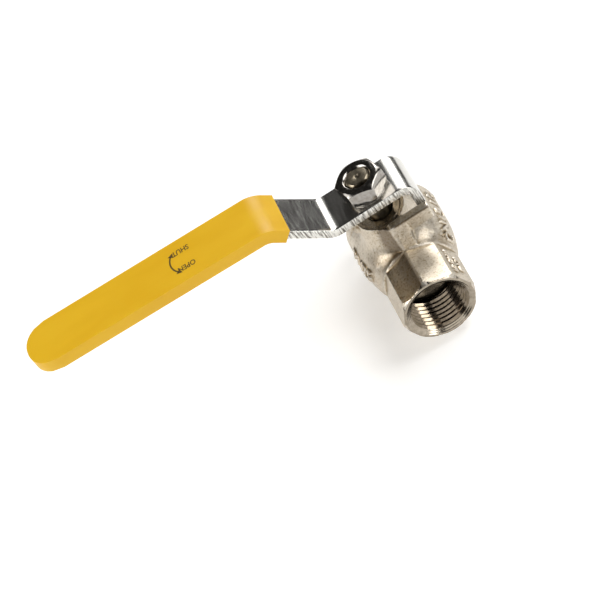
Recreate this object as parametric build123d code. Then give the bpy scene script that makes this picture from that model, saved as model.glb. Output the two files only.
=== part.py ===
from build123d import *
from math import cos, radians, tan
import os

# Half-inch lever ball valve. The pipe axis is Y, the stem points up along Z, and the
# origin is the centre of the front port's face. The valve is shown shut, so the lever
# lies across the pipe, towards -X. All sizes are in millimetres.

# Pipe ports
thread_minor_r = 9.32
port_mouth_chamfer = 0.45
port_thread_length = 12.6
passage_r = 6.6
wrench_flat_width = 24.0
wrench_corner_r = 13.0
wrench_chamfer_r = 12.2
wrench_chamfer_length = 1.1

# Body along the pipe
stem_y = 29.7
front_octagon_length = 16.9
groove_r = 11.9
barrel_r = 15.9
barrel_chamfer = 0.5
barrel_shoulder_r = 14.1
barrel_end = stem_y + 10.2
collar_gap = 0.1
collar_end = stem_y + 16.0
valve_length = 59.2

# Ball, seats and chamber
ball_r = 10.0
ball_bore_r = 6.25
ball_slot_width = 5.0
ball_slot_floor = 7.4
seat_outer_r = 9.2
seat_inner_r = 6.5
seat_back = 10.4
seat_face = 6.0
pocket_clearance = 0.05
chamber_r = 10.7
chamber_half_length = 6.75
cap_thread_r = 12.0
cap_seal_groove_r = 10.9
cap_seal_groove_length = 1.9
passage_cone_length = 1.6

# Boss and stem
boss_top = 22.2
boss_r = 8.6
gland_bore_r = 7.33
gland_floor = 18.4
packing_r = 6.3
packing_floor = 15.4
packing_ring_lower_top = 16.9
packing_ring_upper_top = 18.3
follower_top = 19.2
stem_r = 4.0
stem_clearance = 0.06
stem_pocket_r = 6.6
stem_pocket_top = 13.2
stem_flange_r = 6.45
stem_flange_base = 10.9
stem_flange_top = 12.6
stem_flat_half = 3.0
stem_flat_clearance = 0.08
stem_groove_r = 2.85
stem_groove_base = 13.5
stem_groove_top = 15.1
stem_top = 39.2
stem_end_chamfer = 0.7
stem_dimple_r = 0.9

# Lever: centre-line corners, in the X-Z plane, from the stop tab to the tip
lever_thickness = 3.0
lever_width = 16.4
lever_top = 32.2
tab_outer_x = 14.0
tab_bottom = 19.4
crank_start_x = -15.1
crank_end = (-32.1, 46.0)
lever_tip_x = -114.8
lever_rise = tan(radians(1.7))
lever_bend_r = (4.0, 5.5, 7.0)
lever_tip_corner_r = 7.6
sleeve_wall = 0.9
sleeve_start_x = -27.2

# Stops on the body
stop_gap = 0.12
stop_reach = 13.9
stop_thickness = 3.0
stop_top = 22.6
stop_underside = 17.2
sweep_inner_r = 10.6
sweep_outer_r = 30.0

# Lever nut and washer
nut_width = 14.0
nut_height = 6.0
nut_turn = 16.6
nut_crown = 0.95
nut_mouth_chamfer = 0.5
washer_r = 6.6
washer_height = 0.8

lever_half = lever_width / 2
lever_mid = lever_top - lever_thickness / 2
pipe_axis = Axis.Y
stem_axis = Axis((0, stem_y, 0), (0, 0, 1))
stem_plane = Plane.XZ.offset(-stem_y)


def turned_on_pipe(points):
    """Revolve an outline of (radius, y) points about the pipe axis."""
    return revolve(make_face(Polyline(*points, close=True)), pipe_axis)


def turned_on_stem(points):
    """Revolve an outline of (radius, z) points about the stem axis."""
    return revolve(stem_plane * make_face(Polyline(*points, close=True)), stem_axis)


def ring_on_pipe(inner, outer, start, end):
    return turned_on_pipe([(inner, start), (outer, start), (outer, end), (inner, end)])


def ring_on_stem(inner, outer, bottom, top):
    return turned_on_stem([(inner, bottom), (outer, bottom), (outer, top), (inner, top)])


def rod_on_pipe(radius, start, end):
    return ring_on_pipe(0, radius, start, end)


def rod_on_stem(radius, bottom, top):
    return ring_on_stem(0, radius, bottom, top)


def block(x_range, y_range, z_range):
    """A box between two corners, with y measured from the stem axis."""
    size = [high - low for low, high in (x_range, y_range, z_range)]
    middle = [(low + high) / 2 for low, high in (x_range, y_range, z_range)]
    return Pos(middle[0], stem_y + middle[1], middle[2]) * Box(*size)


def octagon_bar(start, end):
    """The wrench octagon, one corner straight up, between two places on the pipe axis."""
    corner_r = wrench_flat_width / 2 / cos(radians(22.5))
    outline = Plane.XZ * RegularPolygon(corner_r, 8, rotation=90)
    return Pos(0, start, 0) * extrude(outline, -(end - start))


def corner_chamfer(face_y, inward):
    """A turned shape that takes the octagon's corners down to a circle at a port face."""
    reach = 4
    big = wrench_chamfer_r + reach
    run = wrench_chamfer_length / (wrench_corner_r - wrench_chamfer_r) * reach
    return turned_on_pipe([
        (0, face_y),
        (wrench_chamfer_r, face_y),
        (big, face_y + inward * run),
        (big, face_y + inward * 40),
        (0, face_y + inward * 40),
    ])


def port_bore(face_y, inward):
    """The plain bore that the pipe thread is cut in, with its broken edge at the mouth."""
    mouth_r = thread_minor_r + port_mouth_chamfer
    return turned_on_pipe([
        (0, face_y - inward),
        (mouth_r, face_y - inward),
        (mouth_r, face_y),
        (thread_minor_r, face_y + inward * port_mouth_chamfer),
        (thread_minor_r, face_y + inward * port_thread_length),
        (passage_r, face_y + inward * (port_thread_length + passage_cone_length)),
        (0, face_y + inward * (port_thread_length + passage_cone_length)),
    ])


def web(foot, foot_z, head):
    """A rib that rises from one outline, measured from the stem axis, to the boss's top."""
    low = Pos(0, stem_y, foot_z) * make_face(Polyline(*foot, close=True))
    high = Pos(0, stem_y, boss_top) * make_face(Polyline(*head, close=True))
    return loft([low, high])


def make_body():
    octagon = octagon_bar(0, front_octagon_length) & corner_chamfer(0, 1)

    neck_y = front_octagon_length - 0.2
    shoulder_y = stem_y - 9
    widest_y = stem_y + 3.5
    chamfer_y = barrel_end - barrel_chamfer
    end_r = barrel_r - barrel_chamfer
    outline = [
        Line((0, neck_y - 0.5), (groove_r, neck_y - 0.5)),
        Line((groove_r, neck_y - 0.5), (13.0, neck_y)),
        ThreePointArc((13.0, neck_y), (13.05, neck_y + 2.2), (barrel_shoulder_r, shoulder_y)),
        ThreePointArc((barrel_shoulder_r, shoulder_y), (15.35, stem_y - 3.8), (barrel_r, widest_y)),
        Line((barrel_r, widest_y), (barrel_r, chamfer_y)),
        Line((barrel_r, chamfer_y), (end_r, barrel_end)),
        Line((end_r, barrel_end), (0, barrel_end)),
        Line((0, barrel_end), (0, neck_y - 0.5)),
    ]
    barrel = revolve(make_face(Wire(outline)), pipe_axis)

    flare = [
        Line((0, 6.0), (12.6, 9.6)),
        ThreePointArc((12.6, 9.6), (9.7, 14.6), (boss_r, boss_top)),
        Line((boss_r, boss_top), (0, boss_top)),
        Line((0, boss_top), (0, 6.0)),
    ]
    boss = revolve(stem_plane * make_face(Wire(flare)), stem_axis)
    boss &= block((-20, 20), (-20, chamfer_y - stem_y), (0, boss_top + 1))

    stop_face = lever_half + stop_gap
    stop_front = stop_face + stop_thickness
    front_foot = [(0, -13.2), (-5.0, -9.6), (-5.0, 0), (4.6, 0), (4.6, -12.4)]
    front_head = [(0, -stop_front), (-3.6, -8.2), (-3.6, 0), (5.2, 0), (5.2, -stop_front)]
    side_foot = [(-12.6, -0.5), (-7.0, -7.0), (0, -7.0), (0, 5.0), (-12.6, 5.0)]
    side_head = [(-stop_front, -0.5), (-5.6, -6.6), (0, -6.6), (0, 5.0), (-stop_front, 5.0)]
    front_web = web(front_foot, 12.0, front_head)
    side_web = web(side_foot, 8.0, side_head)
    shut_stop = block((0, stop_reach), (-stop_front, -stop_face), (stop_underside, stop_top))
    open_stop = block((-stop_front, -stop_face), (-0.5, stop_reach), (stop_underside, stop_top))

    solid = octagon + barrel + boss + front_web + side_web + shut_stop + open_stop

    bore = port_bore(0, 1)
    bore += rod_on_pipe(passage_r, port_thread_length, stem_y)
    bore += rod_on_pipe(seat_outer_r + pocket_clearance, stem_y - seat_back, stem_y)
    bore += rod_on_pipe(chamber_r, stem_y - chamber_half_length, barrel_end)
    bore += rod_on_pipe(cap_thread_r + pocket_clearance, stem_y + chamber_half_length, barrel_end + 1)
    bore += rod_on_stem(stem_pocket_r, 0, stem_pocket_top)
    bore += rod_on_stem(stem_r + stem_clearance, 0, boss_top + 1)
    bore += rod_on_stem(packing_r + pocket_clearance, packing_floor, boss_top + 1)
    bore += rod_on_stem(gland_bore_r, gland_floor, boss_top + 1)
    tab_space = ring_on_stem(sweep_inner_r, sweep_outer_r, tab_bottom - 0.6, 40)
    sweep_space = tab_space & block((-stop_face, 40), (-stop_face, 40), (0, 50))
    return solid - bore - sweep_space


def make_end_cap():
    collar_start = barrel_end + collar_gap
    octagon = octagon_bar(collar_end, valve_length) & corner_chamfer(valve_length, -1)
    collar = turned_on_pipe([
        (0, collar_start),
        (barrel_r - barrel_chamfer, collar_start),
        (barrel_r, collar_start + barrel_chamfer),
        (barrel_r, collar_end - 1.6),
        (barrel_r - 0.6, collar_end - 0.5),
        (13.6, collar_end + 0.8),
        (groove_r, collar_end + 1.6),
        (0, collar_end + 1.6),
    ])
    spigot = rod_on_pipe(cap_thread_r, stem_y + chamber_half_length + pocket_clearance, collar_start)
    solid = octagon + collar + spigot
    groove_start = barrel_end - cap_seal_groove_length
    groove = ring_on_pipe(cap_seal_groove_r, cap_thread_r + 1, groove_start, barrel_end)
    bore = port_bore(valve_length, -1)
    bore += rod_on_pipe(passage_r, stem_y, valve_length - port_thread_length)
    bore += rod_on_pipe(seat_outer_r + pocket_clearance, stem_y, stem_y + seat_back)
    return solid - groove - bore


def make_seat(side):
    """A PTFE seat ring with a spherical face; side is -1 in the body, 1 in the cap."""
    start, end = sorted((stem_y + side * seat_back, stem_y + side * seat_face))
    ring = ring_on_pipe(seat_inner_r, seat_outer_r, start, end)
    return ring - Pos(0, stem_y, 0) * Sphere(ball_r + 0.02)


def make_ball():
    ball = Pos(0, stem_y, 0) * Sphere(ball_r)
    bore = Pos(0, stem_y, 0) * Rot(0, 90, 0) * Cylinder(ball_bore_r, 3 * ball_r)
    half_slot = ball_slot_width / 2
    slot = block((-half_slot, half_slot), (-ball_r, ball_r), (ball_slot_floor, ball_r + 1))
    return ball - bore - slot


def make_stem():
    shoulder = lever_top - lever_thickness
    stem = turned_on_stem([
        (0, stem_flange_base),
        (stem_flange_r, stem_flange_base),
        (stem_flange_r, stem_flange_top),
        (stem_r, stem_flange_top),
        (stem_r, stem_top - stem_end_chamfer),
        (stem_r - stem_end_chamfer, stem_top),
        (0, stem_top),
    ])
    groove = ring_on_stem(stem_groove_r, stem_r + 1, stem_groove_base, stem_groove_top)
    flats = block((-5, 5), (-5, 5), (shoulder, stem_top + 1))
    flats -= block((-5, 5), (-stem_flat_half, stem_flat_half), (shoulder, stem_top + 1))
    half_tang = ball_slot_width / 2 - stem_flat_clearance
    tang = block((-half_tang, half_tang), (-5.4, 5.4), (ball_slot_floor + 0.25, stem_flange_base))
    tang &= rod_on_stem(stem_flange_r, 0, stem_flange_base)
    dimple = turned_on_stem([
        (0, stem_top - stem_dimple_r),
        (stem_dimple_r, stem_top),
        (stem_dimple_r, stem_top + 1),
        (0, stem_top + 1),
    ])
    return stem + tang - groove - flats - dimple


def make_gland_nut():
    top = boss_top - 0.5
    nut = turned_on_stem([
        (stem_r + 0.25, follower_top),
        (gland_bore_r - 0.08, follower_top),
        (gland_bore_r - 0.08, top - 0.4),
        (gland_bore_r - 0.5, top),
        (stem_r + 0.7, top),
        (stem_r + 0.25, top - 0.45),
    ])
    slots = block((-10, 10), (-1.1, 1.1), (top - 1.3, top + 1))
    return nut - slots


def lever_corners():
    tip_z = crank_end[1] + (crank_end[0] - lever_tip_x) * lever_rise
    return [
        (tab_outer_x - lever_thickness / 2, tab_bottom),
        (tab_outer_x - lever_thickness / 2, lever_mid),
        (crank_start_x, lever_mid),
        crank_end,
        (lever_tip_x, tip_z),
    ]


def strip(corners, radii, thickness, width):
    """A bent strip: its side view is a thick line through the corners."""
    line = stem_plane * FilletPolyline(*corners, radius=radii)
    section = Plane(origin=line @ 0, z_dir=line % 0, x_dir=(0, 1, 0)) * Rectangle(width, thickness)
    return sweep(section, path=line)


def rounded_tip(solid, width, tip_x, corner_r):
    """Round the two corners of the handle's end, seen from above."""
    half = width / 2
    reach = block((tip_x - 1, 40), (-half, half), (0, 80))
    vertical = [
        edge for edge in reach.edges().filter_by(Axis.Z) if edge.center().X < tip_x
    ]
    mask = fillet(vertical, corner_r)
    return solid & Pos(1, 0, 0) * mask


def make_lever_plate():
    corners = lever_corners()
    plate = strip(corners, lever_bend_r, lever_thickness, lever_width)
    plate = rounded_tip(plate, lever_width, lever_tip_x, lever_tip_corner_r)
    hole = rod_on_stem(stem_r + 0.1, 20, 40)
    flat = stem_flat_half + stem_flat_clearance
    hole &= block((-9, 9), (-flat, flat), (20, 40))
    return plate - hole


def sleeve_corners():
    corners = lever_corners()
    slope = (crank_end[1] - lever_mid) / (crank_end[0] - crank_start_x)
    start = (sleeve_start_x, lever_mid + (sleeve_start_x - crank_start_x) * slope)
    return [start, corners[3], corners[4]]


def make_lever_sleeve():
    corners = sleeve_corners()
    tip = corners[2]
    far = (tip[0] - sleeve_wall, tip[1] + sleeve_wall * lever_rise)
    bend = [lever_bend_r[2]]
    width = lever_width + 2 * sleeve_wall
    outer = strip([corners[0], corners[1], far], bend, lever_thickness + 2 * sleeve_wall, width)
    outer = rounded_tip(outer, width, far[0], lever_tip_corner_r + sleeve_wall)
    plate = strip(lever_corners(), lever_bend_r, lever_thickness, lever_width)
    plate = rounded_tip(plate, lever_width, lever_tip_x, lever_tip_corner_r)
    return outer - plate


def hexagon_nut(width, height, bottom, bore_r):
    corner_r = width / 2 / cos(radians(30))
    crown_r = width / 2 * nut_crown
    top = bottom + height
    outline = Pos(0, stem_y, bottom) * RegularPolygon(corner_r, 6, rotation=nut_turn)
    nut = extrude(outline, height)
    drop = (corner_r - crown_r) * tan(radians(30))
    crown = turned_on_stem([
        (0, bottom),
        (crown_r, bottom),
        (corner_r, bottom + drop),
        (corner_r, top - drop),
        (crown_r, top),
        (0, top),
    ])
    mouth = turned_on_stem([
        (0, top - nut_mouth_chamfer),
        (bore_r, top - nut_mouth_chamfer),
        (bore_r + nut_mouth_chamfer, top),
        (0, top),
    ])
    return (nut & crown) - rod_on_stem(bore_r, 0, 60) - mouth


washer_top = lever_top + washer_height
parts = {
    "body": make_body(),
    "end_cap": make_end_cap(),
    "end_cap_seal": ring_on_pipe(
        cap_seal_groove_r + 0.02, cap_thread_r, barrel_end - 1.7, barrel_end - 0.1
    ),
    "ball": make_ball(),
    "seat_ring_front": make_seat(-1),
    "seat_ring_rear": make_seat(1),
    "stem": make_stem(),
    "stem_thrust_washer": ring_on_stem(
        stem_r + 0.08, stem_flange_r, stem_flange_top + 0.02, stem_pocket_top - 0.02
    ),
    "stem_o_ring": ring_on_stem(
        stem_groove_r + 0.02, stem_r + 0.04, stem_groove_base + 0.1, stem_groove_top - 0.1
    ),
    "packing_ring_lower": ring_on_stem(
        stem_r + 0.02, packing_r, packing_floor, packing_ring_lower_top
    ),
    "packing_ring_upper": ring_on_stem(
        stem_r + 0.02, packing_r, packing_ring_lower_top, packing_ring_upper_top
    ),
    "packing_follower": ring_on_stem(
        stem_r + 0.1, packing_r - 0.1, packing_ring_upper_top, follower_top
    ),
    "gland_nut": make_gland_nut(),
    "lever_plate": make_lever_plate(),
    "lever_sleeve": make_lever_sleeve(),
    "lever_washer": ring_on_stem(stem_r + 0.2, washer_r, lever_top, washer_top),
    "lever_nut": hexagon_nut(nut_width, nut_height, washer_top, stem_r + 0.05),
}

os.makedirs("parts", exist_ok=True)
for name, solid in parts.items():
    export_step(solid, f"parts/{name}.step")
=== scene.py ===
"""Half-inch lever ball valve: the looks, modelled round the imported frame.

Laid out as an add-on. Every length in the property groups is in millimetres, and
every mesh is in metres, in the frame's own axes: the pipe runs along Y, the stem
stands along Z, and the handle lies towards -X.
"""

from math import atan2, ceil, cos, hypot, pi, radians, sin, sqrt, tan

import bmesh
import bpy
from mathutils import Matrix, Vector


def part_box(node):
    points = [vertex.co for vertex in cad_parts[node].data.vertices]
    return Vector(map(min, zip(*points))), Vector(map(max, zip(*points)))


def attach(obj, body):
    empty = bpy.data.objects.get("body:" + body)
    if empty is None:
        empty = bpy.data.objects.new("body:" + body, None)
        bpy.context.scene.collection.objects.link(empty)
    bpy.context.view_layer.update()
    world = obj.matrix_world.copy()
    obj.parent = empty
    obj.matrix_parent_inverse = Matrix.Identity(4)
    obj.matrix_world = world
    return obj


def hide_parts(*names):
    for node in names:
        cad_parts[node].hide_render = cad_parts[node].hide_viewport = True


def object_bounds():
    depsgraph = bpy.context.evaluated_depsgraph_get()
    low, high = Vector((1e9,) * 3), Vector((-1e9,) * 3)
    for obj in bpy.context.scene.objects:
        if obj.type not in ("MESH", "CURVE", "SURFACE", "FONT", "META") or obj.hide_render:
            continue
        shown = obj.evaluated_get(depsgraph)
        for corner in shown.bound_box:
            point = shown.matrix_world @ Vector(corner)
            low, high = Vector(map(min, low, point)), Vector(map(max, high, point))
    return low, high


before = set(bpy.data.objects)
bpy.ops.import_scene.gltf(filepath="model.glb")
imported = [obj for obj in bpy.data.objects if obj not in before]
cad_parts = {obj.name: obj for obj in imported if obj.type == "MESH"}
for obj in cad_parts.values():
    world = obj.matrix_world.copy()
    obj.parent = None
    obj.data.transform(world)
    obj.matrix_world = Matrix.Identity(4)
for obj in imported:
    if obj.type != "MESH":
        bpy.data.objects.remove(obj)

bl_info = {
    "name": "Lever ball valve",
    "version": (1, 0, 0),
    "blender": (4, 5, 0),
    "location": "View3D > Sidebar > Valve",
    "description": "Models the visible pieces of a lever ball valve",
    "category": "Object",
}

MM = 0.001
STEM_Y = sum(corner.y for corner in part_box("stem")) / 2 / MM
CAD_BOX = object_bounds()


# --------------------------------------------------------------------------------------
# Settings
# --------------------------------------------------------------------------------------


class ForgingSettings(bpy.types.PropertyGroup):
    grain: bpy.props.FloatProperty(
        name="Mesh size", description="Size of the quads on a forging, in mm", default=0.3, min=0.2
    )
    rounding: bpy.props.IntProperty(
        name="Edge rounding", description="Smoothing passes over a whole forging", default=2
    )
    blend: bpy.props.IntProperty(
        name="Root blending", description="Further smoothing passes round the boss", default=320
    )


class ThreadSettings(bpy.types.PropertyGroup):
    pitch: bpy.props.FloatProperty(
        name="Pitch", description="Pipe thread pitch, 14 to the inch, in mm", default=1.814
    )
    minor: bpy.props.FloatProperty(
        name="Minor radius", description="Radius at the thread's crests, in mm", default=9.32
    )
    major: bpy.props.FloatProperty(
        name="Major radius", description="Radius at the thread's roots, in mm", default=10.3
    )
    crest: bpy.props.FloatProperty(
        name="Crest", description="Flat at a crest, as a share of the pitch", default=0.1
    )
    mouth: bpy.props.FloatProperty(
        name="Mouth radius", description="Radius of the countersink at the face, in mm", default=11.25
    )


class LeverSettings(bpy.types.PropertyGroup):
    thickness: bpy.props.FloatProperty(
        name="Thickness", description="Thickness of the steel strip, in mm", default=3.0
    )
    width: bpy.props.FloatProperty(
        name="Width", description="Width of the steel strip, in mm", default=16.4
    )
    wall: bpy.props.FloatProperty(
        name="Sleeve wall", description="Thickness of the vinyl, in mm", default=0.9
    )
    sleeve_start: bpy.props.FloatProperty(
        name="Sleeve mouth", description="Where the sleeve begins along X, in mm", default=-27.2
    )


class FinishSettings(bpy.types.PropertyGroup):
    nickel: bpy.props.StringProperty(
        name="Nickel", description="Colour of the plated forging, sRGB hex", default="#D6CFC3"
    )
    vinyl: bpy.props.StringProperty(
        name="Vinyl", description="Colour of the sleeve, sRGB hex", default="#DDAF20"
    )
    ink: bpy.props.StringProperty(
        name="Ink", description="Colour of the print on the sleeve, sRGB hex", default="#4A3A12"
    )


class StageSettings(bpy.types.PropertyGroup):
    lens: bpy.props.FloatProperty(
        name="Lens", description="Focal length on a 36 mm sensor, in mm", default=137.4
    )
    distance: bpy.props.FloatProperty(
        name="Distance", description="From the aim point to the camera, in mm", default=738.0
    )
    azimuth: bpy.props.FloatProperty(
        name="Azimuth", description="Camera's turn to the right of the front port, degrees", default=8.34
    )
    elevation: bpy.props.FloatProperty(
        name="Elevation", description="Camera's height above the horizon, degrees", default=44.74
    )
    roll: bpy.props.FloatProperty(
        name="Roll", description="Camera's roll about its own axis, degrees", default=-38.19
    )
    aim: bpy.props.FloatVectorProperty(
        name="Aim", description="Point that the camera looks at, in mm", default=(-37.83, 30.16, 6.0)
    )


# --------------------------------------------------------------------------------------
# Mesh tools
# --------------------------------------------------------------------------------------


def only(obj):
    """Select one object and make it active."""
    bpy.ops.object.select_all(action="DESELECT")
    obj.select_set(True)
    bpy.context.view_layer.objects.active = obj
    return obj


def newest():
    return only(bpy.context.view_layer.objects.active)


def settle(obj):
    """Apply an object's place to its mesh."""
    only(obj)
    bpy.ops.object.transform_apply(location=True, rotation=True, scale=True)
    return obj


def modify(obj, kind, **settings):
    """Add a modifier, set it and apply it."""
    only(obj)
    modifier = obj.modifiers.new(kind.lower(), kind)
    for name, value in settings.items():
        setattr(modifier, name, value)
    bpy.ops.object.modifier_apply(modifier=modifier.name)
    return obj


def combine(obj, operation, *tools):
    """Join or cut an object with others, which are used up."""
    for tool in tools:
        modify(obj, "BOOLEAN", operation=operation, object=tool, solver="EXACT")
        bpy.data.objects.remove(tool)
    return obj


def cut(obj, *tools):
    return combine(obj, "DIFFERENCE", *tools)


def in_edit(obj, *steps):
    """Run edit-mode steps on the whole mesh."""
    only(obj)
    bpy.ops.object.mode_set(mode="EDIT")
    bpy.ops.mesh.select_all(action="SELECT")
    for step in steps:
        step()
    bpy.ops.object.mode_set(mode="OBJECT")
    return obj


def tidy_mesh(obj, distance=0.002 * MM):
    """Merge doubles and turn every face outwards."""
    in_edit(
        obj,
        lambda: bpy.ops.mesh.remove_doubles(threshold=distance),
        lambda: bpy.ops.mesh.normals_make_consistent(inside=False),
    )
    if signed_volume(obj) < 0:
        in_edit(obj, bpy.ops.mesh.flip_normals)
    return obj


def signed_volume(obj):
    """A closed mesh's volume, which is negative where the mesh is inside out."""
    mesh = bmesh.new()
    mesh.from_mesh(obj.data)
    volume = mesh.calc_volume(signed=True)
    mesh.free()
    return volume


def copy_of(node, name):
    """A merged copy of a CAD node's mesh."""
    source = bpy.data.objects[node]
    obj = bpy.data.objects.new(name, source.data.copy())
    bpy.context.collection.objects.link(obj)
    obj.matrix_world = source.matrix_world
    obj.data.materials.clear()
    settle(obj)
    return tidy_mesh(obj)


def rod(radius, start, end, axis="Z", centre=(0, 0), sides=96, end_radius=None):
    """A cylinder or cone between two places on an axis, all in mm."""
    length = end - start
    middle = (start + end) / 2
    if axis == "Z":
        place = (centre[0], centre[1], middle)
        turn = (0, 0, 0)
    else:
        place = (centre[0], middle, centre[1])
        turn = (radians(-90), 0, 0)
    bpy.ops.mesh.primitive_cone_add(
        vertices=sides,
        radius1=radius * MM,
        radius2=(radius if end_radius is None else end_radius) * MM,
        depth=length * MM,
        location=[v * MM for v in place],
        rotation=turn,
    )
    return settle(newest())


def stem_rod(radius, bottom, top, **settings):
    return rod(radius, bottom, top, "Z", (0, STEM_Y), **settings)


def pipe_rod(radius, start, end, **settings):
    return rod(radius, start, end, "Y", **settings)


def block(low, high):
    """A box between two corners, in mm."""
    middle = [(a + b) / 2 * MM for a, b in zip(low, high)]
    bpy.ops.mesh.primitive_cube_add(size=1, location=middle)
    cube = newest()
    cube.scale = [(b - a) * MM for a, b in zip(low, high)]
    return settle(cube)


def outline(points):
    """A chain of edges through some points, in mm, drawn by extruding one vertex."""
    bpy.ops.mesh.primitive_plane_add(size=MM)
    obj = newest()
    bpy.ops.object.mode_set(mode="EDIT")
    bpy.ops.mesh.merge(type="CENTER")
    place = Vector()
    for i, point in enumerate(points):
        step = Vector(point) * MM - place
        if i == 0:
            bpy.ops.transform.translate(value=step)
        else:
            bpy.ops.mesh.extrude_region_move(TRANSFORM_OT_translate={"value": step})
        place += step
    bpy.ops.object.mode_set(mode="OBJECT")
    return obj


def turned(profile, axis="Z", steps=96):
    """Spin a profile of (radius, height) points, in mm, about the stem or the pipe.

    The profile starts and ends on the axis, or on itself for a ring.
    """
    if axis == "Z":
        points = [(r, STEM_Y, h) for r, h in profile]
        centre, direction = (0, STEM_Y * MM, 0), (0, 0, 1)
    else:
        points = [(r, h, 0) for r, h in profile]
        centre, direction = (0, 0, 0), (0, 1, 0)
    obj = in_edit(
        outline(points),
        lambda: bpy.ops.mesh.spin(steps=steps, angle=2 * pi, center=centre, axis=direction),
    )
    return tidy_mesh(obj)


def shade(obj, angle=30):
    only(obj)
    bpy.ops.object.shade_smooth_by_angle(angle=radians(angle))
    return obj


def piece(obj, name, body, finish, slot, *nodes):
    """Name a finished piece, give it its material and tie it to its CAD body and nodes."""
    obj.name = name
    obj.data.name = name
    if finish:
        obj.data.materials.clear()
        obj.data.materials.append(finish)
    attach(obj, body)
    if nodes:
        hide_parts(*nodes)
    return obj


# --------------------------------------------------------------------------------------
# Material tools
# --------------------------------------------------------------------------------------


def colour(text):
    """Linear RGBA from an sRGB hex value."""
    channels = [int(text[i : i + 2], 16) / 255 for i in (1, 3, 5)]
    linear = [c / 12.92 if c <= 0.04045 else ((c + 0.055) / 1.055) ** 2.4 for c in channels]
    return (*linear, 1.0)


def wire(tree, node, inputs):
    """Set a node's inputs, or link them to a socket or to another node's first output."""
    for name, value in inputs.items():
        if isinstance(value, bpy.types.Node):
            value = value.outputs[0]
        if isinstance(value, bpy.types.NodeSocket):
            tree.links.new(value, node.inputs[name])
        else:
            node.inputs[name].default_value = value


def add(tree, kind, inputs, stops=(), **settings):
    """Add a node with its settings, its inputs and, on a colour ramp, its stops."""
    node = tree.nodes.new(kind)
    for name, value in settings.items():
        setattr(node, name, value)
    wire(tree, node, inputs)
    if stops:
        elements = node.color_ramp.elements
        while len(elements) < len(stops):
            elements.new(0.5)
        for element, (place, value) in zip(elements, stops):
            element.position = place
            element.color = colour(value) if isinstance(value, str) else value
    return node


def per(millimetres):
    """A noise scale whose features are about this size."""
    return 1 / (millimetres * MM)


def start(name):
    """A new material: its tree, its shader and its object coordinates."""
    material = bpy.data.materials.new(name)
    material.use_nodes = True
    tree = material.node_tree
    spot = add(tree, "ShaderNodeTexCoord", {}).outputs["Object"]
    return material, tree, tree.nodes["Principled BSDF"], spot


# --------------------------------------------------------------------------------------
# Materials
# --------------------------------------------------------------------------------------

NOISE = "ShaderNodeTexNoise"
RAMP = "ShaderNodeValToRGB"
RANGE = "ShaderNodeMapRange"
BUMP = "ShaderNodeBump"
MAPPING = "ShaderNodeMapping"

# Noise rarely leaves this range, so it is what a range or a ramp is stretched over.
NOISE_RANGE = {"From Min": 0.3, "From Max": 0.7}


def nickel_forging():
    """Nickel over shot-blasted forged brass: a warm grey metal that blurs what it mirrors.

    The shot leaves dimples of about 0.7 mm. Hollows are darkened brown as painted shade, and edges are
    whitened as painted highlight.
    """
    material, tree, shader, spot = start("nickel_plated_forging")
    base = colour(bpy.context.scene.valve_finish.nickel)
    dull = [c * 0.88 for c in base[:3]] + [1]
    clouds = add(tree, NOISE, {"Vector": spot, "Scale": per(5.0), "Detail": 4.0})
    tint = add(tree, RAMP, {"Fac": clouds}, ((0.35, dull), (0.65, base)))
    # Painted shade and highlight: low pointiness (hollows) is darkened brown, high pointiness (edges)
    # whitened.
    edges = add(tree, "ShaderNodeNewGeometry", {}).outputs["Pointiness"]
    hollow_shade_edge_highlight_stops = (0.44, "#5A4E3C"), (0.485, "#CDC3B2"), (0.497, "#F8F5F0"), (0.53, "#FFFFFF")
    hollow_shade_edge_highlight = add(tree, RAMP, {"Fac": edges}, hollow_shade_edge_highlight_stops)
    # Painted shade: a stored per-vertex amount darkens the front rib's left flank and the places round
    # the shut stop brown.
    painted_shade_amount = add(tree, "ShaderNodeAttribute", {}, attribute_name="tarnish").outputs["Fac"]
    painted_shade_tint = add(tree, RAMP, {"Fac": painted_shade_amount}, ((0.0, "#FFFFFF"), (1.0, "#6E5F4B")))
    shot = add(
        tree, NOISE, {"Vector": spot, "Scale": per(0.7), "Detail": 3.0, "Roughness": 0.65}
    )
    speck_stops = (0.32, "#C2B8A8"), (0.48, "#F8F5F0"), (0.6, "#FFFFFF")
    specks = add(tree, RAMP, {"Fac": shot}, speck_stops)
    for layer in (hollow_shade_edge_highlight, painted_shade_tint, specks):
        tint = add(
            tree,
            "ShaderNodeMix",
            {0: 1.0, 6: tint, 7: layer},
            data_type="RGBA",
            blend_type="MULTIPLY",
        ).outputs[2]
    waves = add(tree, NOISE, {"Vector": spot, "Scale": per(2.6), "Detail": 2.0})
    dull_range = {"Value": shot, "To Min": 0.28, "To Max": 0.44, **NOISE_RANGE}
    slow = add(tree, BUMP, {"Height": waves, "Distance": 0.2 * MM, "Strength": 0.5})
    dimples = {"Height": shot, "Distance": 0.15 * MM, "Strength": 0.8, "Normal": slow}
    wire(tree, shader, {
        "Metallic": 1.0,
        "Base Color": tint,
        "Roughness": add(tree, RANGE, dull_range),
        "Normal": add(tree, BUMP, dimples),
    })
    return material


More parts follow.
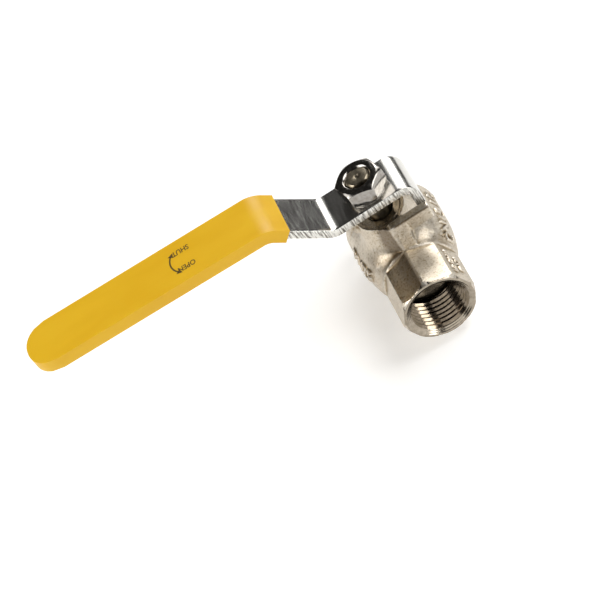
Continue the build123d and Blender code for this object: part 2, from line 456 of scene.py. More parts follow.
def nickel_turned():
    """Nickel over a lathe-turned face: glossier than the blasted skin, with rings, and its base colour
    kept darker as painted dark reflection.

    The rings are drawn 0.6 mm apart, as coarse as they need to be to show.
    """
    material, tree, shader, spot = start("nickel_plated_turned_brass")
    fine = add(tree, NOISE, {"Vector": spot, "Scale": per(0.3), "Detail": 2.0, "Roughness": 0.6})
    clouds = add(tree, NOISE, {"Vector": spot, "Scale": per(1.2), "Detail": 3.0})
    gloss = {"Value": fine, "To Min": 0.14, "To Max": 0.28, **NOISE_RANGE}
    rings = add(
        tree,
        "ShaderNodeTexWave",
        {"Vector": spot, "Scale": 520.0, "Distortion": 1.0, "Detail": 2.0},
        wave_type="RINGS",
        rings_direction="Y",
    ).outputs["Fac"]
    haze = add(tree, BUMP, {"Height": fine, "Distance": 0.015 * MM, "Strength": 0.5})
    tooled = {"Height": rings, "Distance": 0.04 * MM, "Strength": 0.5, "Normal": haze}
    wire(tree, shader, {
        "Metallic": 1.0,
        # Painted dark reflection: the base colour is kept darker than the forging's.
        "Base Color": add(tree, RAMP, {"Fac": clouds}, ((0.3, "#8C8273"), (0.7, "#A79D8E"))),
        "Roughness": add(tree, RANGE, gloss),
        "Normal": add(tree, BUMP, tooled),
    })
    return material


def tapped_brass():
    """Brass tapped after plating and still oily: a glossy brown metal, its base colour kept dark as
    painted dark reflection.
    """
    material, tree, shader, spot = start("tapped_oily_brass")
    fine = add(tree, NOISE, {"Vector": spot, "Scale": per(0.4), "Detail": 2.0, "Roughness": 0.6})
    oil = add(tree, NOISE, {"Vector": spot, "Scale": per(1.5), "Detail": 3.0})
    gloss = {"Value": fine, "To Min": 0.1, "To Max": 0.2, **NOISE_RANGE}
    wire(tree, shader, {
        "Metallic": 1.0,
        # Painted dark reflection: the base colour is kept far darker than brass.
        "Base Color": add(tree, RAMP, {"Fac": oil}, ((0.3, "#665C4C"), (0.7, "#85796A"))),
        "Roughness": add(tree, RANGE, gloss),
        "Normal": add(tree, BUMP, {"Height": fine, "Distance": 0.012 * MM, "Strength": 0.5}),
    })
    return material


def bright_steel():
    """Polished, plated steel strip: a near mirror that shows slight rolling waves."""
    material, tree, shader, spot = start("polished_plated_steel")
    fine_rolled = add(tree, MAPPING, {"Vector": spot, "Scale": (1, 0.1, 1)})
    rolled = add(tree, MAPPING, {"Vector": spot, "Scale": (1, 1 / 6, 1)})
    along = add(
        tree, NOISE, {"Vector": fine_rolled, "Scale": per(0.7), "Detail": 3.0, "Roughness": 0.6}
    )
    waves = add(tree, NOISE, {"Vector": rolled, "Scale": per(3.0), "Detail": 2.0})
    gloss = {"Value": along, "To Min": 0.17, "To Max": 0.27, **NOISE_RANGE}
    wire(tree, shader, {
        "Metallic": 1.0,
        "Base Color": colour("#CFCDC8"),
        "Roughness": add(tree, RANGE, gloss),
        "Normal": add(tree, BUMP, {"Height": waves, "Distance": 0.02 * MM, "Strength": 0.35}),
    })
    return material


def sheared_steel():
    """Sheared edge of the strip: plated over, with tear marks across its thickness."""
    material, tree, shader, spot = start("sheared_plated_edge")
    across = add(tree, MAPPING, {"Vector": spot, "Scale": (1, 1, 1 / 9)})
    tear = add(tree, NOISE, {"Vector": across, "Scale": per(0.45), "Detail": 2.0})
    pits = add(tree, NOISE, {"Vector": spot, "Scale": per(0.6), "Detail": 3.0, "Roughness": 0.6})
    gloss = {"Value": pits, "To Min": 0.22, "To Max": 0.4, **NOISE_RANGE}
    torn = add(tree, BUMP, {"Height": tear, "Distance": 0.2 * MM, "Strength": 0.8})
    pitted = {"Height": pits, "Distance": 0.1 * MM, "Strength": 0.5, "Normal": torn}
    wire(tree, shader, {
        "Metallic": 1.0,
        "Base Color": add(tree, RAMP, {"Fac": tear}, ((0.36, "#79756E"), (0.55, "#E2E0DA"))),
        "Roughness": add(tree, RANGE, gloss),
        "Normal": add(tree, BUMP, pitted),
    })
    return material


def bright_nut_plate():
    """Bright-plated machined steel: a mirror with a slight haze, its base colour kept dark as painted
    dark reflection.
    """
    material, tree, shader, spot = start("bright_plated_nut_steel")
    haze = add(tree, NOISE, {"Vector": spot, "Scale": per(1.0), "Detail": 3.0})
    gloss = {"Value": haze, "To Min": 0.08, "To Max": 0.2, **NOISE_RANGE}
    wire(tree, shader, {
        "Metallic": 1.0,
        # Painted dark reflection: the base colour is kept darker than the lever's steel.
        "Base Color": add(tree, RAMP, {"Fac": haze}, ((0.3, "#8F8A84"), (0.7, "#A8A49E"))),
        "Roughness": add(tree, RANGE, gloss),
        "Normal": add(tree, BUMP, {"Height": haze, "Distance": 0.02 * MM, "Strength": 0.5}),
    })
    return material


def dipped_vinyl():
    """Dipped vinyl (plastisol): a saturated, slightly translucent skin with a soft gloss."""
    material, tree, shader, spot = start("dipped_vinyl")
    base = colour(bpy.context.scene.valve_finish.vinyl)
    deep = (base[0] * 0.95, base[1] * 0.91, base[2] * 0.8, 1)
    along = add(tree, MAPPING, {"Vector": spot, "Scale": (1 / 3, 1, 1)})
    flow = add(tree, NOISE, {"Vector": along, "Scale": per(9.0), "Detail": 2.0})
    fine = add(tree, NOISE, {"Vector": spot, "Scale": per(0.4), "Detail": 2.0})
    gloss = {"Value": flow, "To Min": 0.38, "To Max": 0.48, **NOISE_RANGE}
    runs = add(tree, BUMP, {"Height": flow, "Distance": 0.2 * MM, "Strength": 0.3})
    skin = {"Height": fine, "Distance": 0.01 * MM, "Strength": 0.3, "Normal": runs}
    wire(tree, shader, {
        "IOR": 1.5,
        "Specular IOR Level": 0.3,
        "Subsurface Weight": 0.12,
        "Subsurface Radius": (1.2, 0.7, 0.1),
        "Subsurface Scale": 0.8 * MM,
        "Base Color": add(tree, RAMP, {"Fac": flow}, ((0.35, deep), (0.65, base))),
        "Roughness": add(tree, RANGE, gloss),
        "Normal": add(tree, BUMP, skin),
    })
    return material


def printed_ink():
    """Pad-printed ink: thin, dark and a little uneven where it missed the vinyl."""
    material, tree, shader, spot = start("pad_printed_ink")
    ink = colour(bpy.context.scene.valve_finish.ink)
    thin = [c * 1.9 for c in ink[:3]] + [1]
    cover = add(tree, NOISE, {"Vector": spot, "Scale": per(0.5), "Detail": 3.0})
    wire(tree, shader, {
        "Base Color": add(tree, RAMP, {"Fac": cover}, ((0.35, ink), (0.75, thin))),
        "Roughness": 0.5,
    })
    return material


def turned_brass():
    """Free-cutting brass, turned and thinly nickelled: a dull, warm grey with tool rings.

    The rings are drawn 0.5 mm apart, as coarse as they need to be to show.
    """
    material, tree, shader, spot = start("turned_pale_brass")
    clouds = add(tree, NOISE, {"Vector": spot, "Scale": per(1.2), "Detail": 3.0})
    centred = add(tree, MAPPING, {"Vector": spot, "Location": (0, -STEM_Y * MM, 0)})
    rings = add(
        tree,
        "ShaderNodeTexWave",
        {"Vector": centred, "Scale": 620.0, "Distortion": 1.5, "Detail": 2.0},
        wave_type="RINGS",
        rings_direction="Z",
    ).outputs["Fac"]
    gloss = {"Value": rings, "To Min": 0.28, "To Max": 0.42, "From Min": 0.0, "From Max": 1.0}
    wire(tree, shader, {
        "Metallic": 1.0,
        "Base Color": add(tree, RAMP, {"Fac": clouds}, ((0.3, "#746B5B"), (0.7, "#938A78"))),
        "Roughness": add(tree, RANGE, gloss),
        "Normal": add(tree, BUMP, {"Height": rings, "Distance": 0.03 * MM, "Strength": 0.5}),
    })
    return material


def chromed_ball():
    """Hard chrome on a lapped brass ball: a clean blue-white mirror."""
    material, tree, shader, spot = start("hard_chrome")
    lapping = add(tree, NOISE, {"Vector": spot, "Scale": per(1.5), "Detail": 3.0})
    gloss = {"Value": lapping, "To Min": 0.04, "To Max": 0.12, **NOISE_RANGE}
    wire(tree, shader, {
        "Metallic": 1.0,
        "Base Color": colour("#DCDEE1"),
        "Roughness": add(tree, RANGE, gloss),
    })
    return material


def turned_ptfe():
    """Turned PTFE: waxy white plastic, a little see-through at thin edges."""
    material, tree, shader, spot = start("turned_ptfe")
    clouds = add(tree, NOISE, {"Vector": spot, "Scale": per(2.0), "Detail": 3.0})
    wire(tree, shader, {
        "IOR": 1.35,
        "Subsurface Weight": 0.3,
        "Subsurface Radius": (0.6, 0.6, 0.6),
        "Subsurface Scale": 1.0 * MM,
        "Base Color": add(tree, RAMP, {"Fac": clouds}, ((0.3, "#E8E7E2"), (0.7, "#F2F1ED"))),
        "Roughness": 0.4,
    })
    return material


def moulded_nitrile():
    """Moulded nitrile rubber: near black, satin."""
    material, tree, shader, spot = start("moulded_nitrile")
    clouds = add(tree, NOISE, {"Vector": spot, "Scale": per(0.8), "Detail": 3.0})
    wire(tree, shader, {
        "Base Color": add(tree, RAMP, {"Fac": clouds}, ((0.3, "#151515"), (0.7, "#1F1F1F"))),
        "Roughness": 0.55,
    })
    return material


# --------------------------------------------------------------------------------------
# Bent strip
# --------------------------------------------------------------------------------------


class BentPath:
    """The lever's centre line in the X-Z plane, with an arc at each corner, in mm."""

    def __init__(self, corners, radii):
        self.runs = []
        place = Vector(corners[0])
        for i, radius in enumerate(radii, start=1):
            corner = Vector(corners[i])
            before = (corner - Vector(corners[i - 1])).normalized()
            after = (Vector(corners[i + 1]) - corner).normalized()
            turn = before.angle_signed(after)
            setback = radius * tan(abs(turn) / 2)
            arc_start = corner - before * setback
            self.runs.append((place, before, 0.0, (arc_start - place).length))
            self.runs.append((arc_start, before, turn, abs(turn) * radius))
            place = corner + after * setback
        last = Vector(corners[-1])
        self.runs.append((place, (last - place).normalized(), 0.0, (last - place).length))
        self.length = sum(run[3] for run in self.runs)

    def at(self, distance):
        """The point and direction at a distance along the line; straight on past its ends."""
        for place, direction, turn, length in self.runs[:-1]:
            if distance <= length:
                break
            distance -= length
        else:
            place, direction, turn, length = self.runs[-1]
        if not turn or distance < 0:
            return place + direction * distance, direction
        radius = length / abs(turn)
        angle = turn * distance / length
        side = Vector((-direction.y, direction.x)) * (-1 if turn > 0 else 1)
        centre = place + side * radius
        rotation = Matrix.Rotation(-angle, 2)
        return centre + rotation @ (place - centre), rotation @ direction

    def distance_to_x(self, x):
        """How far along the line the last crossing of an X lies."""
        steps = 2000
        crossing = 0
        for i in range(steps):
            here = self.at(self.length * i / steps)[0].x
            there = self.at(self.length * (i + 1) / steps)[0].x
            if (here - x) * (there - x) <= 0:
                crossing = self.length * i / steps
        return crossing


LEVER_TOP = 32.2
CRANK = ((-15.1, 0), (-32.1, 15.3))
LEVER_TIP_X = -114.8
LEVER_RISE = radians(1.7)
BEND_RADII = (4.0, 5.5, 7.0)
TAB_OUTER_X = 14.0
TAB_BOTTOM = 19.4


def lever_path():
    thickness = bpy.context.scene.valve_lever.thickness
    middle = LEVER_TOP - thickness / 2
    tab_x = TAB_OUTER_X - thickness / 2
    bend = (CRANK[1][0], middle + CRANK[1][1])
    tip = (LEVER_TIP_X, bend[1] + (bend[0] - LEVER_TIP_X) * tan(LEVER_RISE))
    corners = [(tab_x, TAB_BOTTOM), (tab_x, middle), (CRANK[0][0], middle), bend, tip]
    return BentPath(corners, BEND_RADII)


def rounded_blank(start_s, end_s, width, thickness, corner_r, edge_r, step=0.8, edge_steps=3):
    """A flat strip along X with its far end rounded, as a grid thickened and bevelled, in mm."""
    length = end_s - start_s
    columns = ceil(length / step)
    rows = 16
    bpy.ops.mesh.primitive_grid_add(x_subdivisions=columns, y_subdivisions=rows, size=1)
    obj = newest()
    half = width / 2
    taper = 2.2 * corner_r
    for vertex in obj.data.vertices:
        s = (vertex.co.x + 0.5) * length
        y = vertex.co.y * width
        into = abs(y) - (half - corner_r)
        back = corner_r - sqrt(max(corner_r**2 - max(into, 0) ** 2, 0))
        from_end = length - s
        if from_end < taper:
            s = length - taper + (taper - from_end) * (taper - back) / taper
        vertex.co = Vector(((start_s + s) * MM, y * MM, 0))
    modify(obj, "SOLIDIFY", thickness=thickness * MM, offset=0.0)
    modify(
        obj,
        "BEVEL",
        width=edge_r * MM,
        segments=edge_steps,
        limit_method="ANGLE",
        angle_limit=radians(50),
    )
    return obj


def bend(obj, path):
    """Bend a flat strip, whose X is the distance along a path, onto that path."""
    for vertex in obj.data.vertices:
        place, direction = path.at(vertex.co.x / MM)
        rise = vertex.co.z / MM
        x = place.x + direction.y * rise
        z = place.y - direction.x * rise
        vertex.co = Vector((x * MM, vertex.co.y + STEM_Y * MM, z * MM))
    return tidy_mesh(obj)


# --------------------------------------------------------------------------------------
# Pieces
# --------------------------------------------------------------------------------------


class VALVE_OT_forged_body(bpy.types.Operator):
    """Model the forged body, its bores, its raised size marks and its front pipe thread"""

    bl_idname = "valve.forged_body"
    bl_label = "Forged body"

    def execute(self, context):
        marks = [
            facet_mark("1/2 DN15", 1.9, 2.1),
            facet_mark("PN 25", 1.9, -1.5),
            barrel_mark("DN15 1/2", 4.2, 72, 29.4),
            barrel_mark("PN25", 4.4, -72, 29.0),
        ]
        fillers = [pipe_rod(11.4, 0.25, 17.5), stem_rod(8.0, 12.5, 22.15)]
        fillers += marks
        body = forging("body", "forged_body", fillers)
        machine_port(body, 0.0, 1)
        machine_boss(body)
        tarnish(body)
        shade(body, 35)
        piece(body, "forged_body", "valve_body", nickel_forging(), "nickel_plated_brass", "body")
        mark_turned_faces(body)
        return {"FINISHED"}


class VALVE_OT_end_cap(bpy.types.Operator):
    """Model the end cap and its rear pipe thread"""

    bl_idname = "valve.end_cap"
    bl_label = "End cap"

    def execute(self, context):
        cap = forging("end_cap", "rear_end_cap", [pipe_rod(11.4, 38, 58.95)])
        low, high = (corner.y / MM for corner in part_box("end_cap"))
        machine_port(cap, high, -1)
        seat_pocket = [(0, low - 1), (9.25, low - 1), (9.25, STEM_Y + 10.4), (6.6, STEM_Y + 10.4)]
        cut(cap, turned(seat_pocket + [(6.6, 50), (0, 50)], "Y"))
        cut(cap, block((-20, low - 5, -20), (20, low + 0.12, 20)))
        shade(cap, 35)
        finish = bpy.data.materials["nickel_plated_forging"]
        piece(cap, "rear_end_cap", "valve_body", finish, "nickel_plated_brass", "end_cap")
        mark_turned_faces(cap)
        return {"FINISHED"}


def raised_text(words, height, depth):
    """Plain block letters as a solid, lying flat about the origin, in mm."""
    bpy.ops.object.text_add()
    text = newest()
    text.data.body = words
    text.data.size = height / 0.7 * MM
    text.data.align_x = "CENTER"
    text.data.align_y = "CENTER"
    text.data.extrude = depth / 2 * MM
    text.data.offset = 0.02 * height * MM
    text.data.resolution_u = 3
    bpy.ops.object.convert(target="MESH")
    return tidy_mesh(newest(), 0.0005 * MM)


def facet_mark(words, height, across):
    """A raised row along the octagon's flat on the right, a little off its middle."""
    mark = raised_text(words, height, 1.0)
    tilt = Matrix.Rotation(radians(67.5), 4, "Y")
    row = Vector((-across, 8.6, 12.2)) * MM
    place = tilt @ Matrix.Translation(row)
    mark.data.transform(place @ Matrix.Rotation(radians(90), 4, "Z"))
    return mark


def barrel_mark(words, height, angle, y):
    """Raised characters wrapped round the barrel's side, at an angle from the top."""
    mark = raised_text(words, height, 2.0)
    mark.data.transform(Matrix.Rotation(radians(90 if angle > 0 else -90), 4, "Z"))
    for vertex in mark.data.vertices:
        x, along, rise = vertex.co / MM
        radius = barrel_radius(y + along) + rise * 0.5 + 0.15
        turn = radians(angle) + x / 15.5
        vertex.co = Vector((radius * sin(turn), y + along, radius * cos(turn))) * MM
    return mark


def barrel_radius(y):
    """The barrel's radius near a place along the pipe, in mm."""
    return 15.9 - 0.0075 * (33.2 - y) ** 2 if y < 33.2 else 15.9


def forging(node, name, fillers):
    """A CAD copy with its bores filled, remeshed and smoothed like a forging."""
    settings = bpy.context.scene.valve_forging
    blank = copy_of(node, name)
    only(blank)
    for filler in fillers:
        filler.select_set(True)
    bpy.ops.object.join()
    modify(blank, "REMESH", mode="VOXEL", voxel_size=settings.grain * MM)
    modify(blank, "SMOOTH", factor=0.5, iterations=settings.rounding)
    soften(blank, settings.blend, root_share)
    return blank


def soften(body, passes, share):
    """Smooth a mesh by a share from 0 to 1, which depends on the place in mm."""
    group = body.vertex_groups.new(name="soft")
    for vertex in body.data.vertices:
        weight = share(*(vertex.co / MM))
        if weight > 0:
            group.add([vertex.index], weight, "REPLACE")
    modify(body, "SMOOTH", factor=0.5, iterations=passes, vertex_group="soft")
    body.vertex_groups.clear()


def fade(value, start, end):
    """0 before start, 1 after end, and a straight line between."""
    return min(max((value - start) / (end - start), 0), 1)


def root_share(x, y, z):
    """How far the die blended a place: the roots of the boss, its ribs and the stops."""
    from_pipe = hypot(x, z)
    clear_of_top = 1 - fade(z, 18.5, 20.5)
    off_octagon = fade(y, 17.6, 19.5)
    near_rib = fade(z, 9.0, 11.5) * (1 - fade(hypot(x, y - STEM_Y), 15.0, 17.5))
    off_barrel = fade(from_pipe, 12.5, 13.5)
    depth = y - STEM_Y
    on_shut_stop = fade(x, 4.0, 6.0) * fade(-depth, 6.5, 8.0) * fade(z, 15.5, 17.0)
    on_open_stop = fade(-x, 6.5, 8.0) * fade(depth, 4.0, 6.0) * fade(z, 15.5, 17.0)
    off_stops = (1 - on_shut_stop) * (1 - on_open_stop)
    on_front_crest = fade(-depth, 8.5, 10.0) * fade(x, -4.5, -2.5) * (1 - fade(x, 1.0, 2.5))
    off_crest = 1 - 0.93 * on_front_crest
    return clear_of_top * off_octagon * near_rib * off_barrel * off_stops * off_crest


def painted_shade_share(x, y, z):
    """How much painted shade a place gets: beside the front rib and round the shut stop."""
    depth = y - STEM_Y
    in_front = fade(-depth, 6.5, 8.5)
    up_rib = fade(z, 9.5, 12.5)
    # Painted shade on the front rib's left flank, a dark line along the shut stop's top front edge, and
    # painted shade under the stop.
    flank = fade(x, -6.5, -4.0) * (1 - fade(x, -0.9, -0.3)) * up_rib * in_front
    stop_edge_line = fade(x, 0.5, 1.5) * fade(z, 21.9, 22.2) * fade(-depth, 10.9, 11.2)
    below_stop = fade(z, 13.4, 15.2) * (1 - fade(z, 17.0, 17.4))
    shade_under_stop = fade(x, 3.5, 6.0) * (1 - fade(x, 9.0, 13.0)) * below_stop
    return max(0.75 * flank, stop_edge_line, 0.8 * shade_under_stop * in_front)


def tarnish(body):
    """Store how much painted shade each vertex gets, for the forging's finish."""
    layer = body.data.attributes.new("tarnish", "FLOAT", "POINT")
    for vertex in body.data.vertices:
        layer.data[vertex.index].value = painted_shade_share(*(vertex.co / MM))


def thread_tap(face_y, inward, length):
    """A solid with the pipe thread's shape, which cuts the thread in a bore."""
    settings = bpy.context.scene.valve_thread
    pitch = settings.pitch
    crest = settings.crest / 2
    profile = (
        (settings.minor, 0),
        (settings.minor, crest),
        (settings.major, 0.47),
        (settings.major, 0.53),
        (settings.minor, 1 - crest),
        (settings.minor, 1),
    )
    tap = outline([(r, face_y + inward * (h - 2) * pitch, 0) for r, h in profile])
    modify(
        tap,
        "SCREW",
        axis="Y",
        screw_offset=inward * pitch * MM,
        iterations=ceil(length / pitch) + 1,
        steps=96,
        render_steps=96,
    )
    in_edit(tap, lambda: bpy.ops.mesh.remove_doubles(threshold=0.002 * MM))
    only(tap)
    bpy.ops.object.mode_set(mode="EDIT")
    bpy.ops.mesh.select_mode(type="EDGE")
    bpy.ops.mesh.select_all(action="DESELECT")
    bpy.ops.mesh.select_non_manifold(extend=False, use_multi_face=False, use_verts=False)
    bpy.ops.mesh.edge_face_add()
    bpy.ops.mesh.select_mode(type="VERT")
    bpy.ops.object.mode_set(mode="OBJECT")
    return tidy_mesh(tap)


def machine_port(part, face_y, inward):
    """Face a port, chamfer its corners, tap it, relieve the thread and sink its mouth."""
    settings = bpy.context.scene.valve_thread
    mouth = settings.mouth

    def turned_from_face(profile):
        return turned([(r, face_y + inward * depth) for r, depth in profile], "Y", steps=110)

    low, high = sorted((face_y + inward * 0.03, face_y - inward * 5))
    cut(part, block((-30, low, -30), (30, high, 30)))
    keep = [(0, -0.5), (11.7, -0.5), (12.0, 0), (13.2, 1.8), (30, 20), (30, 50), (0, 50)]
    combine(part, "INTERSECT", turned_from_face(keep))
    cut(part, thread_tap(face_y, inward, 15.4))
    relief = [(0, 14.4), (10.45, 14.4), (10.45, 16.0), (6.9, 17.6), (6.9, 18.4), (0, 18.4)]
    cut(part, turned_from_face(relief))
    sink = [(0, -1), (mouth + 0.8, -1), (mouth, 0), (9.2, 1.5), (0, 1.5)]
    cut(part, turned_from_face(sink))


def machine_boss(body):
    """Face the boss and bore it for the gland, the packing and the stem."""
    cut(body, turned([(0, 22.17), (8.75, 22.17), (8.75, 30), (0, 30)]))
    pocket = [(0, 11.5), (6.75, 11.5), (6.75, 13.2), (4.06, 13.2), (4.06, 15.4)]
    packing = [(6.35, 15.4), (6.35, 18.4)]
    gland = [(7.33, 18.4), (7.33, 21.9), (7.63, 22.25), (7.63, 30), (0, 30)]
    cut(body, turned(pocket + packing + gland))


def mark_turned_faces(part):
    """Give the faced and bored surfaces the glossier turned finishes, whose base colours are kept dark
    as painted dark reflection.
    """
    makers = {"nickel_plated_turned_brass": nickel_turned, "tapped_oily_brass": tapped_brass}
    for name, make in makers.items():
        part.data.materials.append(bpy.data.materials.get(name) or make())
    for face in part.data.polygons:
        x, y, z = face.center / MM
        from_pipe = hypot(x, z)
        from_stem = hypot(x, y - STEM_Y)
        end_face = from_pipe < 13.1 and (y < 0.6 or y > 58.6)
        bored = from_pipe < 10.9 and z < 11.2
        boss_top = from_stem < 8.9 and face.normal.z > 0.9 and z < 22.21
        boss = z > 12 and (from_stem < 7.7 or boss_top)
        in_thread = bored and min(y, 59.2 - y) > 1.3
        if end_face or bored or boss:
            face.material_index = 2 if in_thread else 1


class VALVE_OT_lever(bpy.types.Operator):
    """Press the lever from flat strip: round its tip, pierce its hole and bend it"""

    bl_idname = "valve.lever"
    bl_label = "Lever"

    def execute(self, context):
        settings = context.scene.valve_lever
        path = lever_path()
        corner_r = settings.width / 2 - 0.6
        blank = rounded_blank(
            0, path.length, settings.width, settings.thickness, corner_r, 0.35, edge_steps=3
        )
        hole_s = path.distance_to_x(0.0)
        hole = rod(4.1, -5, 5, "Z", (hole_s, 0), sides=64)
        side = block((hole_s - 6, -3.08, -6), (hole_s + 6, 3.08, 6))
        combine(hole, "INTERSECT", side)
        cut(blank, hole)
        bend(blank, path)
        shade(blank, 35)
        edge = sheared_steel()
        piece(blank, "lever_strip", "lever", bright_steel(), "plated_steel", "lever_plate")
        blank.data.materials.append(edge)
        for face in blank.data.polygons:
            if abs(face.normal.y) > 0.8:
                face.material_index = 1
        return {"FINISHED"}


class VALVE_OT_sleeve(bpy.types.Operator):
    """Dip the handle in vinyl"""

    bl_idname = "valve.sleeve"
    bl_label = "Sleeve"

    def execute(self, context):
        settings = context.scene.valve_lever
        path = lever_path()
        first = path.distance_to_x(settings.sleeve_start)
        width = settings.width + 2 * settings.wall
        thick = settings.thickness + 2 * settings.wall
        blank = rounded_blank(
            first - 4, path.length + settings.wall, width, thick, width / 2 - 0.6, 2.2, edge_steps=6
        )
        in_edit(
            blank,
            lambda: bpy.ops.mesh.bisect(
                plane_co=(first * MM, 0, 0), plane_no=(1, 0, 0), clear_inner=True
            ),
        )
        modify(blank, "SOLIDIFY", thickness=settings.wall * 0.96 * MM, offset=-1.0)
        modify(
            blank, "BEVEL", width=0.18 * MM, segments=2, limit_method="ANGLE",
            angle_limit=radians(60),
        )
        bend(blank, path)
        shade(blank, 40)
        piece(blank, "vinyl_sleeve", "lever", dipped_vinyl(), "vinyl_sleeve", "lever_sleeve")
        return {"FINISHED"}


class VALVE_OT_print(bpy.types.Operator):
    """Print the handle's plain open and shut marks"""

    bl_idname = "valve.print"
    bl_label = "Printed marks"

    def execute(self, context):
        parts = [raised_text("SHUT", 2.1, 0.03), raised_text("OPEN", 2.1, 0.03)]
        turn = Matrix.Rotation(pi, 4, "Z") @ Matrix.Diagonal((0.8, 1, 1, 1))
        for part, y in zip(parts, (3.9, -3.5)):
            part.data.transform(Matrix.Translation((-58.5 * MM, y * MM, 0)) @ turn)
        parts += [arrow_arc()]
        for part in parts:
            part.select_set(True)
        bpy.context.view_layer.objects.active = parts[0]
        bpy.ops.object.join()
        mark = parts[0]
        settings = context.scene.valve_lever
        place, direction = lever_path().at(lever_path().distance_to_x(-58.5))
        rise = settings.thickness / 2 + settings.wall + 0.012
        lean = atan2(-direction.y, -direction.x)
        top = place + Vector((direction.y, -direction.x)) * rise
        mark.data.transform(Matrix.Translation((58.5 * MM, STEM_Y * MM, 0)))
        mark.data.transform(
            Matrix.Translation((top.x * MM, 0, top.y * MM)) @ Matrix.Rotation(-lean, 4, "Y")
        )
        piece(mark, "printed_marks", "lever", printed_ink(), "vinyl_sleeve")
        return {"FINISHED"}


def arrow_arc():
    """A thin arc with an arrowhead at each end, lying flat, in mm."""
    centre_x, radius, half_line, columns = -57.0, 6.2, 0.27, 24
    head_half, head_back, head_front = 0.95, -0.35, 1.5
    ends = radians(145), radians(222)

    def at(turn, distance):
        return (centre_x + distance * cos(turn), distance * sin(turn), 0)

    turns = [ends[0] + (ends[1] - ends[0]) * i / columns for i in range(columns + 1)]
    shapes = [
        [at(turn, radius - half_line) for turn in turns]
        + [at(turn, radius + half_line) for turn in reversed(turns)]
    ]
    for turn, side in zip(ends, (-1, 1)):
        back = turn + side * head_back / radius
        front = turn + side * head_front / radius
        foot = [at(back, radius - head_half), at(back, radius + head_half)]
        shapes.append(foot + [at(front, radius)])
    flat = [in_edit(outline(points), bpy.ops.mesh.edge_face_add) for points in shapes]
    arc = only(flat[0])
    for head in flat[1:]:
        head.select_set(True)
    bpy.ops.object.join()
    modify(arc, "SOLIDIFY", thickness=0.03 * MM, offset=0)
    return tidy_mesh(arc, 0.0005 * MM)


class VALVE_OT_lever_nut(bpy.types.Operator):
    """Model the hexagon nut and its washer"""

    bl_idname = "valve.lever_nut"
    bl_label = "Lever nut and washer"

    def execute(self, context):
        finish = bright_nut_plate()
        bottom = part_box("lever_nut")[0].z / MM
        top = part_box("lever_nut")[1].z / MM
        across = 14.0
        corner_r = across / 2 / cos(radians(30))
        nut = stem_rod(corner_r, bottom, top, sides=6)
        centre = Vector((0, STEM_Y * MM, 0))
        nut.data.transform(
            Matrix.Translation(centre)
            @ Matrix.Rotation(radians(30 - 13.4), 4, "Z")
            @ Matrix.Translation(-centre)
        )
        inner = across / 2 * 0.94
        drop = (corner_r + 0.3 - inner) * tan(radians(30))
        crown = turned([
            (0, bottom), (inner, bottom), (corner_r + 0.3, bottom + drop),
            (corner_r + 0.3, top - drop), (inner, top), (0, top),
        ])
        combine(nut, "INTERSECT", crown)
        bore = turned([
            (0, bottom - 1), (4.6, bottom - 1), (4.6, bottom), (4.05, bottom + 0.5),
            (4.05, top - 0.7), (4.7, top), (4.7, top + 1), (0, top + 1),
        ])
        cut(nut, bore)
        modify(nut, "BEVEL", width=0.16 * MM, segments=3, limit_method="ANGLE",
               angle_limit=radians(18))
        shade(nut, 30)
        piece(nut, "hexagon_nut", "lever", finish, "plated_nut_steel", "lever_nut")
        low, high = (corner.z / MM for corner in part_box("lever_washer"))
        washer = stem_rod(6.6, low, high)
        cut(washer, stem_rod(4.2, low - 1, high + 1))
        modify(washer, "BEVEL", width=0.12 * MM, segments=2, limit_method="ANGLE",
               angle_limit=radians(40))
        shade(washer, 30)
        piece(washer, "plain_washer", "lever", finish, "plated_steel", "lever_washer")
        return {"FINISHED"}


class VALVE_OT_stem(bpy.types.Operator):
    """Turn the stem, with its tang, flats, thread end and centre drilling"""

    bl_idname = "valve.stem"
    bl_label = "Stem and gland nut"

    def execute(self, context):
        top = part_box("stem")[1].z / MM
        flange = [(0, 10.9), (6.45, 10.9), (6.45, 12.6), (4.0, 12.6)]
        ring_groove = [(4.0, 13.5), (2.85, 13.5), (2.85, 15.1), (4.0, 15.1)]
        drilled_end = [(4.0, top - 0.6), (3.45, top), (1.0, top), (0, top - 0.9)]
        stem = turned(flange + ring_groove + drilled_end)
        for side in (-1, 1):
            low, high = sorted((side * 3.0, side * 6.0))
            cut(stem, block((-6, STEM_Y + low, 29.2), (6, STEM_Y + high, top + 1)))
        tang = block((-2.42, STEM_Y - 5.4, 7.65), (2.42, STEM_Y + 5.4, 11.2))
        combine(stem, "UNION", tang)
        modify(stem, "BEVEL", width=0.08 * MM, segments=2, limit_method="ANGLE",
               angle_limit=radians(30))
        shade(stem, 30)
        piece(stem, "turned_stem", "lever", turned_brass(), "bare_brass", "stem")

        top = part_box("gland_nut")[1].z / MM
        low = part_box("gland_nut")[0].z / MM
        outside = [(4.25, low), (7.25, low), (7.25, top - 0.35), (6.9, top)]
        nut = turned(outside + [(4.75, top), (4.25, top - 0.4), (4.25, low)])
        shade(nut, 30)
        finish = bpy.data.materials.get("nickel_plated_turned_brass") or nickel_turned()
        piece(nut, "gland_ring", "valve_body", finish, "turned_plated_brass", "gland_nut")
        return {"FINISHED"}


